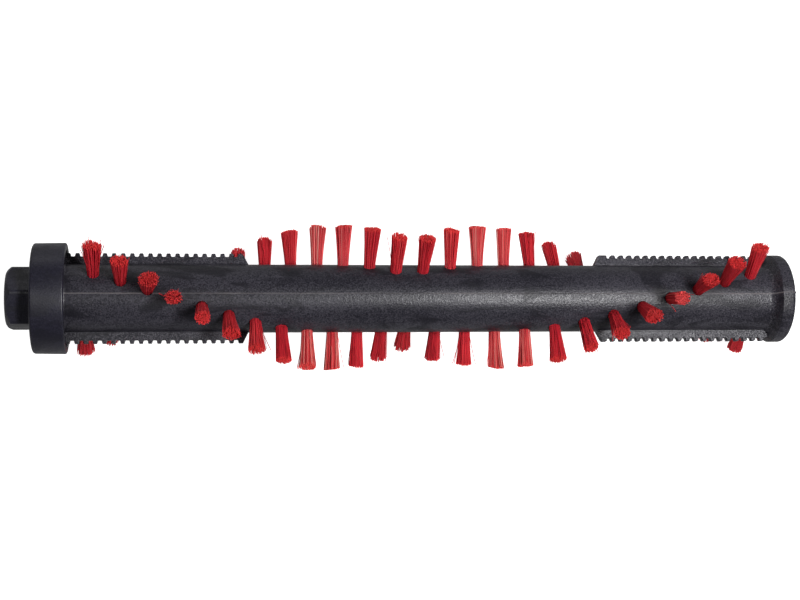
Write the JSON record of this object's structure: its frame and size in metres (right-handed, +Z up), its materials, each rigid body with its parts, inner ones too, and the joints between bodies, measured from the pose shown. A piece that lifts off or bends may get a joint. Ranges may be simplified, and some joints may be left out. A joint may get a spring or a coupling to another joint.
{
  "type": "brush roll of a wet dry floor scrubber",
  "caption": "Bristle brush roll for a wet dry floor scrubber: moulded core with tufts wound in a V, a drive socket at one end and a hexagonal end cap on a ball bearing at the other.",
  "frame": {"origin": "on the spin axis, half way between the hexagonal boss's face and the drive end's face", "axes": "+X along the spin axis, from the hexagonal boss to the drive end; +Z up, away from the floor that the roll lies on; +Y completes the frame"},
  "size_m": [0.268, 0.0502, 0.0502],
  "materials": {
    "core_plastic": "moulded, fine grain",
    "cap_plastic": "moulded, smooth",
    "hub_plastic": "glass filled nylon",
    "bristle": "nylon filament",
    "steel": "ground",
    "spring_steel": "phosphated",
    "rubber": "matt"
  },
  "bodies": {
    "cap_end": {"end_cap": "cap_plastic", "bearing_outer_ring": "steel", "dust_seal": "rubber"},
    "cage": {"ball_cage": "steel"},
    "roll": {"roller_core": "core_plastic", "axle": "steel", "drive_hub": "hub_plastic", "bearing_inner_ring": "steel", "retaining_ring": "spring_steel", "tuft_a_01": "bristle", "tuft_a_02": "bristle", "tuft_a_03": "bristle", "tuft_a_04": "bristle", "tuft_a_05": "bristle", "tuft_a_06": "bristle", "tuft_a_07": "bristle", "tuft_a_08": "bristle", "tuft_a_09": "bristle", "tuft_a_10": "bristle", "tuft_a_11": "bristle", "tuft_a_12": "bristle", "tuft_a_13": "bristle", "tuft_a_14": "bristle", "tuft_a_15": "bristle", "tuft_a_16": "bristle", "tuft_a_17": "bristle", "tuft_a_18": "bristle", "tuft_a_19": "bristle", "tuft_a_20": "bristle", "tuft_a_21": "bristle", "tuft_a_22": "bristle", "tuft_a_23": "bristle", "tuft_a_24": "bristle", "tuft_a_25": "bristle", "tuft_b_01": "bristle", "tuft_b_02": "bristle", "tuft_b_03": "bristle", "tuft_b_04": "bristle", "tuft_b_05": "bristle", "tuft_b_06": "bristle", "tuft_b_07": "bristle", "tuft_b_08": "bristle", "tuft_b_09": "bristle", "tuft_b_10": "bristle", "tuft_b_11": "bristle", "tuft_b_12": "bristle", "tuft_b_13": "bristle", "tuft_b_14": "bristle", "tuft_b_15": "bristle", "tuft_b_16": "bristle", "tuft_b_17": "bristle", "tuft_b_18": "bristle", "tuft_b_19": "bristle", "tuft_b_20": "bristle", "tuft_b_21": "bristle", "tuft_b_22": "bristle", "tuft_b_23": "bristle", "tuft_b_24": "bristle", "tuft_b_25": "bristle", "tuft_b_26": "bristle"}
  },
  "joints": [
    {"name": "roller_spin", "type": "hinge", "parent": "cap_end", "child": "roll", "pos_m": [-0.127, 0, 0], "axis": [1, 0, 0], "continuous": true},
    {"name": "cage_spin", "type": "hinge", "parent": "cap_end", "child": "cage", "pos_m": [-0.127, 0, 0], "axis": [1, 0, 0], "continuous": true}
  ],
  "couplings": [
    {"joint": "cage_spin", "follows": "roller_spin", "ratio": 0.4057}
  ]
}
